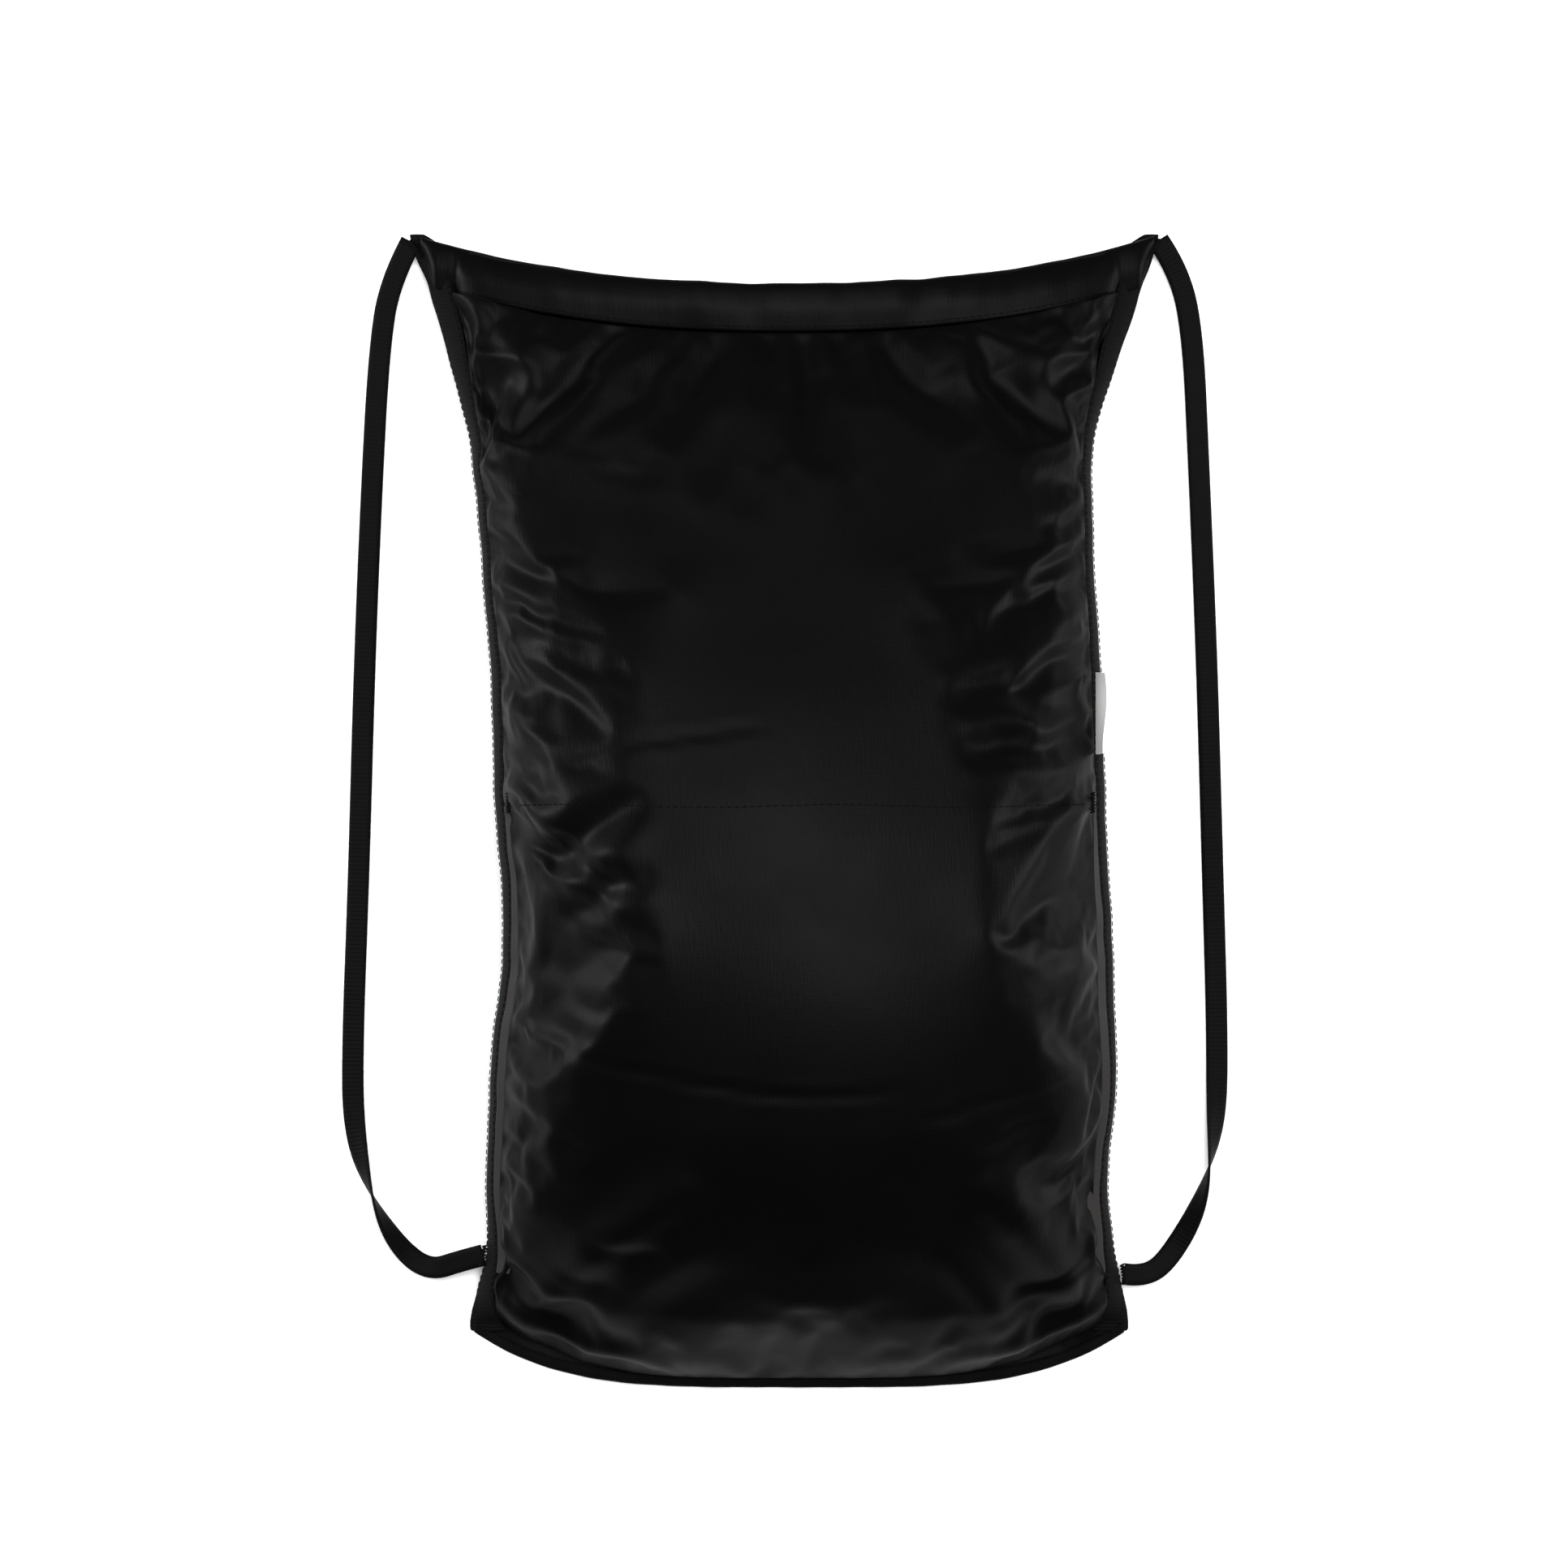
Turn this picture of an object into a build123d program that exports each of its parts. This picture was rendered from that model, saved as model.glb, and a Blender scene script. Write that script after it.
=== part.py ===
"""Drawstring backpack: a light nylon sack laid on its back, with flat webbing drawstrings.

Millimetres. X runs across the bag, Y from the bottom seam to the mouth, Z up from the floor.
The origin is on the floor, under the middle of the sack. Fabric is drawn thicker than it is,
so that every piece is a closed solid.
"""

from build123d import *
import math
import os

# ---------------------------------------------------------------- driving dimensions
SEAM_ALLOWANCE = 2.0        # distance of a panel's raw edge from the bottom seam
CLOTH = 1.0                 # drawn thickness of a fabric layer
BELLY_DEPTH = 122.0         # floor to the highest point of the packed front
SEAM_HEIGHT = 34.0          # height of the side seam's lower edge at the belly
TAPE_WIDTH = 15.0           # ribbed side tape between the front and the back
TOP_ROW = 257.0             # side seam's top end
BOTTOM_ROW = -238.0         # side seam's bottom end
BACK_FLAT = 0.62            # share of the back's width that lies flat on the floor
FLOOR_TRIM = 0.3            # cloth trimmed off below the floor, to leave a true flat face
TOP_DIP = 20.0              # how far the middle of the mouth dips below its corners
BOTTOM_SAG = 27.0           # how far the middle of the bottom hangs below its corners

CASING_WIDTH = 22.0         # folded casing that holds the drawstrings
CASING_THICKNESS = 6.0
CASING_WALL = 1.0
CASING_END_X = 147.0        # half length of a casing, measured across the bag
MOUTH_RISE = 15.0           # how far the front casing bows up in the middle
FRONT_CASING_Z = 16.0       # height of the front casing at its ends
BACK_CASING_Z = 3.0         # height of the back casing, which lies on the floor
CASING_GAP = 1.0            # clearance between the moving front casing and its neighbours

WEBBING_WIDTH = 10.0        # flat drawstring webbing
WEBBING_THICKNESS = 1.2
WEBBING_SHIFT = 3.0         # the drawstrings lie this far towards the mouth's folded edge
WEBBING_GAP = 0.4           # clearance of the webbing inside the casing

POCKET_TOP = 0.0            # straight stitch line that closes the front pocket's top
POCKET_END = -214.0         # lower end of each side opening of the front pocket
POCKET_LIP = 7.0            # how far the front's free edge stands off along an opening
POCKET_GAP = 12.0           # room between the front and the pocket lining
FACING_THICKNESS = 0.8      # folded facing along each pocket opening

LABEL_LENGTH = 37.0         # blank white side label
LABEL_WIDTH = 13.0
LABEL_THICKNESS = 0.8
LABEL_LEAN = 15.0           # degrees from upright
LABEL_Y = 41.5
LABEL_GAP = 1.0             # clearance between the label and the cloth

TACK_LENGTH = 11.0          # bartacks: short dense stitching
TACK_WIDTH = 2.4
TACK_THICKNESS = 1.6
BINDING_WIDTH = 5.0         # bound bottom seam
BINDING_THICKNESS = 3.0

# Side outline: distance up the bag, left edge, right edge, seam height share, depth share,
# and how much of the tape's width shows from above.
STATIONS = [
    (BOTTOM_ROW, -146.5, 157.5, 0.03, 0.04, 14.7),
    (-225.0, -143.0, 154.8, 0.14, 0.25, 9.0),
    (-205.0, -138.0, 150.0, 0.30, 0.46, 6.0),
    (-170.0, -137.3, 146.8, 0.60, 0.71, 4.5),
    (-120.0, -135.2, 149.8, 0.86, 0.90, 4.0),
    (-60.0, -129.0, 147.5, 1.00, 1.00, 5.0),
    (0.0, -132.9, 144.6, 1.00, 0.98, 5.0),
    (60.0, -135.1, 142.9, 0.88, 0.86, 5.0),
    (120.0, -140.0, 139.6, 0.70, 0.68, 4.5),
    (170.0, -146.0, 140.6, 0.50, 0.52, 5.5),
    (210.0, -157.0, 154.0, 0.32, 0.38, 9.5),
    (240.0, -165.5, 163.8, 0.20, 0.28, 11.5),
    (TOP_ROW, -172.5, 169.8, 0.12, 0.20, 14.0),
]

# Webbing routes on the floor, from the top corner to the sewn lower end.
LEFT_ROUTE = [
    (-173.0, 259.0, 6.0), (-183.0, 241.0, 3.0), (-188.0, 210.0, 1.2), (-191.4, 150.0, 0.9),
    (-195.0, 60.0, 0.9), (-197.6, -36.0, 0.9), (-200.4, -110.0, 0.9), (-200.0, -150.0, 0.9),
    (-191.0, -182.0, 0.9), (-178.0, -205.0, 1.5), (-164.5, -214.5, 4.0), (-150.0, -209.5, 8.0),
    (-139.5, -206.6, 11.0),
]
RIGHT_ROUTE = [
    (170.7, 259.6, 6.0), (181.0, 245.0, 3.0), (187.0, 215.0, 1.2), (189.5, 160.0, 0.9),
    (193.3, 70.0, 0.9), (196.0, -30.0, 0.9), (198.3, -108.0, 0.9), (197.5, -152.0, 0.9),
    (190.5, -183.0, 0.9), (177.0, -208.0, 1.5), (165.0, -217.5, 5.0), (154.5, -215.4, 9.0),
]


# ---------------------------------------------------------------- the sack's shape
def station(y):
    """Outline values at a height up the side seam, between the stations."""
    for low, high in zip(STATIONS, STATIONS[1:]):
        if y <= high[0]:
            break
    t = (y - low[0]) / (high[0] - low[0])
    return [a + (b - a) * t for a, b in zip(low, high)]


def tape_edges(y, side):
    """Front and back edge of the side tape, as (x, z) pairs, at a height up the seam."""
    _, left, right, seam, _, shown = station(y)
    outer = right if side > 0 else left
    low = SEAM_HEIGHT * seam
    rise = math.sqrt(max(TAPE_WIDTH ** 2 - shown ** 2, 0.0))
    return (outer - side * shown, low + rise), (outer, low)


def row_y(y, s):
    """Rows bow towards the bottom: flat-bottomed low down, more rounded at the mouth."""
    t = (y - BOTTOM_ROW) / (TOP_ROW - BOTTOM_ROW)
    sag = BOTTOM_SAG + (TOP_DIP - BOTTOM_SAG) * t
    power = 4.0 - 1.6 * t
    return y - sag * (1 - abs(s) ** power)


def front_point(angle, y, drop=0.0, lift=0.0):
    """A point of the front: angle -90 to 90 degrees from the left seam to the right seam."""
    s = math.sin(math.radians(angle))
    left, _ = tape_edges(y, -1)
    right, _ = tape_edges(y, 1)
    edge_z = left[1] + lift
    height = BELLY_DEPTH * station(y)[4]
    crown = max(height - drop - edge_z, 0.5) * math.cos(math.radians(angle)) ** 0.9
    x = (left[0] + right[0]) / 2 + s * (right[0] - left[0]) / 2
    return Vector(x, row_y(y, s), edge_z + crown)


def back_point(s, y):
    """A point of the back, which lies flat on the floor between its turned-up sides."""
    _, left = tape_edges(y, -1)
    _, right = tape_edges(y, 1)
    turn = max(abs(s) - BACK_FLAT, 0.0) / (1 - BACK_FLAT)
    x = (left[0] + right[0]) / 2 + s * (right[0] - left[0]) / 2
    return Vector(x, row_y(y, s), -FLOOR_TRIM + (left[1] + FLOOR_TRIM) * turn ** 2)


def rows(low, high):
    """Station heights between two limits, with the limits themselves."""
    inner = [st[0] for st in STATIONS if low + 4 < st[0] < high - 4]
    return [low] + inner + [high]


def cloth(points, thickness, towards):
    """A fabric piece: a smooth surface through rows of points, thickened to one side."""
    surface = Face.make_surface_from_array_of_points(points, tol=0.05)
    normal = surface.normal_at(surface.position_at(0.5, 0.5))
    side = 1 if normal.dot(Vector(*towards)) > 0 else -1
    return Solid.thicken(surface, side * thickness)


UP = (0, 0, 1)
DOWN = (0, 0, -1)
ANGLES = [-90, -75, -60, -45, -30, -15, 0, 15, 30, 45, 60, 75, 90]
PANEL_TOP = TOP_ROW - CASING_WIDTH - CASING_GAP


def pocket_lift(y):
    """The front's free edges stand away from the tape along the pocket openings."""
    span = POCKET_TOP - POCKET_END
    t = (y - POCKET_END) / span
    return POCKET_LIP * math.sin(math.pi * t) ** 0.6 if 0 < t < 1 else 0.0


def front_panel():
    """Front of the sack, one cut of nylon from the bottom seam to the casing."""
    grid = []
    for y in rows(BOTTOM_ROW + SEAM_ALLOWANCE, PANEL_TOP):
        grid.append([front_point(a, y, lift=pocket_lift(y)) for a in ANGLES])
    return cloth(grid, CLOTH, DOWN)


def back_panel():
    """Back of the sack, trimmed where it lies on the floor."""
    turned_up = [BACK_FLAT + (1 - BACK_FLAT) * t for t in (0, 0.34, 0.58, 0.79, 1)]
    shares = [-s for s in reversed(turned_up)] + [-0.4, 0, 0.4] + turned_up
    grid = [[back_point(s, y) for s in shares] for y in rows(BOTTOM_ROW + SEAM_ALLOWANCE, PANEL_TOP)]
    under_floor = Pos(0, 0, -25) * Box(600, 800, 50)
    return cloth(grid, CLOTH, UP) - under_floor


def side_tape(side):
    """Ribbed tape sewn between the front and the back, carried through its edge stations."""
    sections = []
    for y in rows(BOTTOM_ROW, TOP_ROW):
        front, back = tape_edges(y, side)
        lean = math.atan2(front[1] - back[1], front[0] - back[0])
        inwards = Vector(-math.sin(lean), math.cos(lean)) * CLOTH * -side
        corners = [Vector(*front), Vector(*back), Vector(*back) + inwards, Vector(*front) + inwards]
        plane = Plane(origin=(0, y, 0), x_dir=(1, 0, 0), z_dir=(0, -1, 0))
        sections.append(plane * make_face(Polyline(*corners, close=True)))
    return loft(sections, ruled=True)


def pocket_lining():
    """Inner layer of the front pocket, sewn at its top line, its bottom and the tapes."""
    grid = []
    for y in rows(BOTTOM_ROW + 2 * SEAM_ALLOWANCE, POCKET_TOP):
        grid.append([front_point(a, y, drop=POCKET_GAP) for a in ANGLES])
    return cloth(grid, CLOTH, DOWN)


def pocket_facing(side):
    """Folded strip on the inside of the front along a pocket opening."""
    grid = []
    for y in rows(POCKET_END, POCKET_TOP):
        line = []
        for angle in (90, 82, 74):
            point = front_point(side * angle, y, lift=pocket_lift(y))
            line.append(point + Vector(side * 0.2, 0, 0.2))
        grid.append(line)
    return cloth(grid, FACING_THICKNESS, (side, 0, 0))


# ---------------------------------------------------------------- casings and drawstrings
def casing_path(end_z, middle_z):
    """Bowed centre line of a casing, from the left corner to the right corner."""
    end_x = CASING_END_X
    end_y = TOP_ROW - CASING_WIDTH / 2
    middle_y = end_y - TOP_DIP
    return ThreePointArc((-end_x, end_y, end_z), (0, middle_y, middle_z), (end_x, end_y, end_z))


def along(path, section_width, section_thickness, shift_y=0.0, shift_z=0.0):
    """A flat section carried along a bowed path."""
    start = path @ 0
    plane = Plane(origin=start, x_dir=(0, 1, 0), z_dir=path % 0)
    sketch = plane * Pos(shift_y, shift_z) * Rectangle(section_width, section_thickness)
    return sweep(sketch, path=path)


def casing(end_z, middle_z):
    """Folded hem, hollow, with a slit channel for the drawstrings."""
    path = casing_path(end_z, middle_z)
    outer = along(path, CASING_WIDTH, CASING_THICKNESS)
    inner = along(path, CASING_WIDTH - 2 * CASING_WALL, CASING_THICKNESS - 2 * CASING_WALL)
    return outer - inner


def drawstring_run(end_z, middle_z, layer):
    """One drawstring's run through a casing; the two drawstrings lie one on the other."""
    path = casing_path(end_z, middle_z)
    offset = (WEBBING_THICKNESS + WEBBING_GAP) / 2
    return along(path, WEBBING_WIDTH, WEBBING_THICKNESS, WEBBING_SHIFT, layer * offset)


# ---------------------------------------------------------------- webbing, tacks, label
def corner_radii(points):
    """The largest tangent arc that each corner of a route leaves room for."""
    radii = []
    for before, here, after in zip(points, points[1:], points[2:]):
        run_in = Vector(*here) - Vector(*before)
        run_out = Vector(*after) - Vector(*here)
        half_turn = math.radians(run_in.get_angle(run_out)) / 2
        radii.append(0.45 * min(run_in.length, run_out.length) / math.tan(half_turn))
    return radii


def webbing(name, points):
    """Flat webbing along its route: straight runs joined by tangent arcs."""
    radii = corner_radii(points)
    print(name, "radii", [round(r, 1) for r in radii])
    path = FilletPolyline(*points, radius=radii)
    plane = Plane(origin=path @ 0, x_dir=(path % 0).cross(Vector(0, 0, 1)), z_dir=path % 0)
    section = plane * Rectangle(WEBBING_WIDTH, WEBBING_THICKNESS)
    band = sweep(section, path=path)
    share = band.volume / (WEBBING_WIDTH * WEBBING_THICKNESS * path.length)
    print(name, "length", round(path.length, 1), "volume share", round(share, 3))
    return band


def tack(x, y, z, turn):
    """A bartack: a short bar of dense stitches with rounded edges."""
    bar = Box(TACK_LENGTH, TACK_WIDTH, TACK_THICKNESS)
    bar = fillet(bar.edges(), TACK_THICKNESS * 0.3)
    return Pos(x, y, z) * Rot(0, 0, turn) * bar


def pocket_tack(side):
    """The bartack at the top end of a pocket opening."""
    point = front_point(side * 80, POCKET_TOP + TACK_WIDTH)
    return tack(point.X + side * 1.5, point.Y, point.Z + 1.0, 90)


def bottom_binding():
    """Bound seam along the bottom, from corner to corner."""
    points = []
    for s in (-0.97, -0.7, -0.35, 0, 0.35, 0.7, 0.97):
        point = back_point(s, BOTTOM_ROW)
        points.append((point.X, point.Y, BINDING_THICKNESS / 2))
    path = Spline(*points)
    plane = Plane(origin=path @ 0, x_dir=(path % 0).cross(Vector(0, 0, 1)), z_dir=path % 0)
    section = plane * RectangleRounded(BINDING_WIDTH, BINDING_THICKNESS, 1.2)
    return sweep(section, path=path)


def label():
    """Blank woven label, sewn into the right seam along its lower edge."""
    front, _ = tape_edges(LABEL_Y, 1)
    flap = Box(LABEL_THICKNESS, LABEL_LENGTH, LABEL_WIDTH, align=(Align.CENTER, Align.CENTER, Align.MIN))
    flap = fillet(flap.edges().filter_by(Axis.X), 0.8)
    return Pos(front[0] + 1.4, LABEL_Y, front[1] + CLOTH + LABEL_GAP) * Rot(0, LABEL_LEAN, 0) * flap


def build():
    """Every node of the bag, by name."""
    front = (FRONT_CASING_Z, FRONT_CASING_Z + MOUTH_RISE)
    back = (BACK_CASING_Z, BACK_CASING_Z)
    parts = {
        "front_panel": front_panel(),
        "back_panel": back_panel(),
        "left_side_tape": side_tape(-1),
        "right_side_tape": side_tape(1),
        "pocket_lining": pocket_lining(),
        "left_pocket_facing": pocket_facing(-1),
        "right_pocket_facing": pocket_facing(1),
        "front_casing": casing(*front),
        "back_casing": casing(*back),
        "left_drawstring_front_run": drawstring_run(*front, -1),
        "right_drawstring_front_run": drawstring_run(*front, 1),
        "left_drawstring_back_run": drawstring_run(*back, -1),
        "right_drawstring_back_run": drawstring_run(*back, 1),
        "left_strap": webbing("left_strap", LEFT_ROUTE),
        "right_strap": webbing("right_strap", RIGHT_ROUTE),
        "bottom_binding": bottom_binding(),
        "left_corner_tack": tack(*LEFT_ROUTE[0], -60),
        "right_corner_tack": tack(*RIGHT_ROUTE[0], 60),
        "left_strap_tack": tack(*LEFT_ROUTE[-1], 80),
        "right_strap_tack": tack(*RIGHT_ROUTE[-1], 100),
        "pocket_tacks": pocket_tack(-1) + pocket_tack(1),
        "label": label(),
    }
    return parts


os.makedirs("parts", exist_ok=True)
for node, shape in build().items():
    export_step(shape, f"parts/{node}.step")
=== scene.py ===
"""Drawstring backpack of light black nylon, packed and lying on its back."""

import math

import bmesh
import bpy
import numpy as np
from mathutils import Matrix, Vector, noise


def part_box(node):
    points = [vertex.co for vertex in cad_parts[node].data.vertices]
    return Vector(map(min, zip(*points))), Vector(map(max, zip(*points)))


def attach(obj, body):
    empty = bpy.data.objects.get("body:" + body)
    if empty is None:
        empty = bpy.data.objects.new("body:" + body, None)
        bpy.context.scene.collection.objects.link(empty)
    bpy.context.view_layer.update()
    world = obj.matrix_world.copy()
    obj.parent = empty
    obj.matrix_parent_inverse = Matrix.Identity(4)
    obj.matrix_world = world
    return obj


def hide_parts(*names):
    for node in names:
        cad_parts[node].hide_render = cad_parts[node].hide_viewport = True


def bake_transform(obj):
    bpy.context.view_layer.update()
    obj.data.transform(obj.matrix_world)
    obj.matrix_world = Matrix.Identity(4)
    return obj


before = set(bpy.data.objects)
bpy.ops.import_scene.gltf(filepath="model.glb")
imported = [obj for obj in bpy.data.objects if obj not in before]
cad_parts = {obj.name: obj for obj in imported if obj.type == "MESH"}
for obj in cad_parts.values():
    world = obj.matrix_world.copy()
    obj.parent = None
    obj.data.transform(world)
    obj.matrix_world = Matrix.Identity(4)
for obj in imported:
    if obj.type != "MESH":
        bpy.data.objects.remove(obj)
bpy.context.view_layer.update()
bpy.ops.object.select_all(action="DESELECT")

# ------------------------------------------------------------------------------
# Camera and room. A long lens looks straight down on the bag, which lies on a pale
# floor. A wide soft box hangs over its upper half and small ones stand along both
# sides, and none stands below the bottom seam, so that the cloth falls dark there.
# ------------------------------------------------------------------------------
VIEW_WIDTH = 0.717
CAMERA_HEIGHT = 2.43
SENSOR = 36.0

camera_data = bpy.data.cameras.new("camera")
camera_data.sensor_width = SENSOR
camera_data.lens = SENSOR * (CAMERA_HEIGHT - 0.02) / VIEW_WIDTH
camera = bpy.data.objects.new("camera", camera_data)
camera.location = (-0.0015, 0.0096, CAMERA_HEIGHT)
bpy.context.collection.objects.link(camera)
bpy.context.scene.camera = camera

bpy.ops.mesh.primitive_plane_add(size=9, location=(0, 0, -0.0004))
floor = bpy.context.object
floor.name = "floor"
floor_paint = bpy.data.materials.new("floor_paint")
floor_paint.use_nodes = True
floor_shader = floor_paint.node_tree.nodes["Principled BSDF"]
floor_shader.inputs["Base Color"].default_value = (0.94, 0.94, 0.94, 1)
floor_shader.inputs["Roughness"].default_value = 0.9
floor.data.materials.append(floor_paint)


def soft_box(name, place, target, width, depth, watts):
    """A rectangular soft light, turned to face its target."""
    lamp = bpy.data.lights.new(name, "AREA")
    lamp.shape = "RECTANGLE"
    lamp.size = width
    lamp.size_y = depth
    lamp.energy = watts
    holder = bpy.data.objects.new(name, lamp)
    holder.location = place
    aim = Vector(target) - Vector(place)
    holder.rotation_euler = aim.to_track_quat("-Z", "Y").to_euler()
    bpy.context.collection.objects.link(holder)


soft_box("over_light", (0.15, 0.55, 3.0), (0.10, 0.50, 0), 2.8, 1.7, 165)
soft_box("left_light", (-1.6, 0.35, 0.34), (-0.13, 0.06, 0.06), 0.30, 0.9, 34)
soft_box("right_light", (1.6, 0.15, 0.34), (0.13, 0.0, 0.06), 0.30, 0.9, 24)

world = bpy.data.worlds.new("room")
bpy.context.scene.world = world
world.use_nodes = True
world.node_tree.nodes["Background"].inputs["Color"].default_value = (1, 1, 1, 1)
world.node_tree.nodes["Background"].inputs["Strength"].default_value = 0.06
bpy.context.scene.view_settings.view_transform = "Standard"

# ------------------------------------------------------------------------------
# Straps. Each is the free stretch of a drawstring: flat woven webbing 10 mm wide. It
# leaves the mouth's corner, bows out over the floor beside the sack, turns over and is
# sewn into the side tape low down. The points are the route's, from corner to seam.
# ------------------------------------------------------------------------------
WEBBING_WIDTH = 0.010
WEBBING_THICKNESS = 0.0011
LEFT_ROUTE = [
    (-0.1730, 0.2590, 0.0060), (-0.1830, 0.2410, 0.0030), (-0.1880, 0.2100, 0.0012),
    (-0.1914, 0.1500, 0.0009), (-0.1950, 0.0600, 0.0009), (-0.1976, -0.0360, 0.0009),
    (-0.2004, -0.1100, 0.0009), (-0.2000, -0.1500, 0.0009), (-0.1910, -0.1820, 0.0009),
    (-0.1780, -0.2050, 0.0015), (-0.1645, -0.2145, 0.0040), (-0.1500, -0.2095, 0.0080),
    (-0.1395, -0.2066, 0.0110),
]
RIGHT_ROUTE = [
    (0.1707, 0.2596, 0.0060), (0.1810, 0.2450, 0.0030), (0.1870, 0.2150, 0.0012),
    (0.1895, 0.1600, 0.0009), (0.1933, 0.0700, 0.0009), (0.1960, -0.0300, 0.0009),
    (0.1983, -0.1080, 0.0009), (0.1975, -0.1520, 0.0009), (0.1905, -0.1830, 0.0009),
    (0.1770, -0.2080, 0.0015), (0.1650, -0.2175, 0.0050), (0.1545, -0.2154, 0.0090),
]


def smooth_step(low, high, value):
    """Rises from 0 to 1 between two values."""
    t = min(max((value - low) / (high - low), 0.0), 1.0)
    return t * t * (3 - 2 * t)


def spline_points(points):
    """The smooth line that a strap lies along, as points a few millimetres apart."""
    data = bpy.data.curves.new("strap_line", "CURVE")
    data.dimensions = "3D"
    data.resolution_u = 10
    spline = data.splines.new("NURBS")
    spline.points.add(len(points) - 1)
    for point, place in zip(spline.points, points):
        point.co = (*place, 1)
    spline.order_u = 3
    spline.use_endpoint_u = True
    holder = bpy.data.objects.new("strap_line", data)
    bpy.context.collection.objects.link(holder)
    mesh = bpy.data.meshes.new_from_object(holder)
    line = [v.co.copy() for v in mesh.vertices]
    bpy.data.objects.remove(holder)
    bpy.data.meshes.remove(mesh)
    return line


def webbing_mesh(name, line, roll_at):
    """Flat webbing along a line, rolled about it by roll_at(distance along the line)."""
    half = WEBBING_WIDTH / 2
    thick = WEBBING_THICKNESS / 2
    outline = [(-half, -0.2 * thick), (-half * 0.96, -thick), (-half * 0.5, -thick), (0, -thick),
               (half * 0.5, -thick), (half * 0.96, -thick), (half, -0.2 * thick), (half, 0.2 * thick),
               (half * 0.96, thick), (half * 0.5, thick), (0, thick), (-half * 0.5, thick),
               (-half * 0.96, thick), (-half, 0.2 * thick)]
    mesh_data = bpy.data.meshes.new(name)
    shape = bmesh.new()
    uv = shape.loops.layers.uv.new("weave")
    rings = []
    centres = []
    travelled = 0.0
    distances = []
    for i, place in enumerate(line):
        ahead = line[min(i + 1, len(line) - 1)]
        behind = line[max(i - 1, 0)]
        along = (ahead - behind).normalized()
        if i:
            travelled += (place - line[i - 1]).length
        distances.append(travelled)
        across = along.cross(Vector((0, 0, 1))).normalized()
        turn = Matrix.Rotation(roll_at(travelled), 3, along)
        across = turn @ across
        up = across.cross(along).normalized()
        lowest = max(abs(across.z) * half + abs(up.z) * thick, thick)
        centre = Vector((place.x, place.y, max(place.z, lowest + 0.0001)))
        centres.append(tuple(centre))
        rings.append([shape.verts.new(centre + across * a + up * b) for a, b in outline])
    count = len(outline)
    for i in range(len(rings) - 1):
        for j in range(count):
            k = (j + 1) % count
            face = shape.faces.new((rings[i][j], rings[i + 1][j], rings[i + 1][k], rings[i][k]))
            spots = [(j, i), (j, i + 1), (j + 1, i + 1), (j + 1, i)]
            for loop, (a, b) in zip(face.loops, spots):
                loop[uv].uv = (a / count, distances[b])
    shape.faces.new(rings[0])
    shape.faces.new(list(reversed(rings[-1])))
    bmesh.ops.recalc_face_normals(shape, faces=shape.faces)
    shape.to_mesh(mesh_data)
    shape.free()
    piece = bpy.data.objects.new(name, mesh_data)
    bpy.context.collection.objects.link(piece)
    for face in mesh_data.polygons:
        face.use_smooth = True
    return piece, centres


def cloth_paint(name, colour, roughness, sheen):
    """Start of a fabric finish: its shader, with the cloth's plain values set on it."""
    paint = bpy.data.materials.new(name)
    paint.use_nodes = True
    shader = paint.node_tree.nodes["Principled BSDF"]
    shader.inputs["Base Color"].default_value = (*colour, 1)
    shader.inputs["Roughness"].default_value = roughness
    shader.inputs["Specular IOR Level"].default_value = 0.035
    shader.inputs["Sheen Weight"].default_value = sheen
    shader.inputs["Sheen Roughness"].default_value = 0.4
    return paint, shader


def rib_bump(paint, shader, ribs, depth, strength):
    """Woven ribs as relief, from bands that lie across the length of the piece's own map."""
    tree = paint.node_tree
    weave = tree.nodes.new("ShaderNodeUVMap")
    weave.uv_map = "weave"
    wave = tree.nodes.new("ShaderNodeTexWave")
    wave.bands_direction = "Y"
    wave.inputs["Scale"].default_value = ribs * math.pi / 10
    wave.inputs["Distortion"].default_value = 0.6
    wave.inputs["Detail"].default_value = 1.0
    bump = tree.nodes.new("ShaderNodeBump")
    bump.inputs["Strength"].default_value = strength
    bump.inputs["Distance"].default_value = depth
    tree.links.new(weave.outputs["UV"], wave.inputs["Vector"])
    tree.links.new(wave.outputs["Fac"], bump.inputs["Height"])
    tree.links.new(bump.outputs["Normal"], shader.inputs["Normal"])


webbing_paint, webbing_shader = cloth_paint("woven_webbing", (0.0018, 0.0018, 0.0019), 0.62, 0.01)
rib_bump(webbing_paint, webbing_shader, 520, 0.0003, 0.4)

STRAPS = [
    ("left", LEFT_ROUTE, 1),
    ("right", RIGHT_ROUTE, -1),
]
for side_name, route, hand in STRAPS:
    line = spline_points(route)
    total = sum((b - a).length for a, b in zip(line, line[1:]))

    def roll(distance, total=total, hand=hand):
        """The webbing lies flat, then turns over once as it comes round to its seam."""
        over = smooth_step(0.76 * total, 0.97 * total, distance)
        lean = 0.10 * math.sin(distance * 21.0 + hand)
        return hand * (over * math.pi + lean * (1 - over))

    strap, centres = webbing_mesh(side_name + "_strap_webbing", line, roll)
    strap.data.materials.append(webbing_paint)
    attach(strap, "sack")
    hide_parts(side_name + "_strap")

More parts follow.
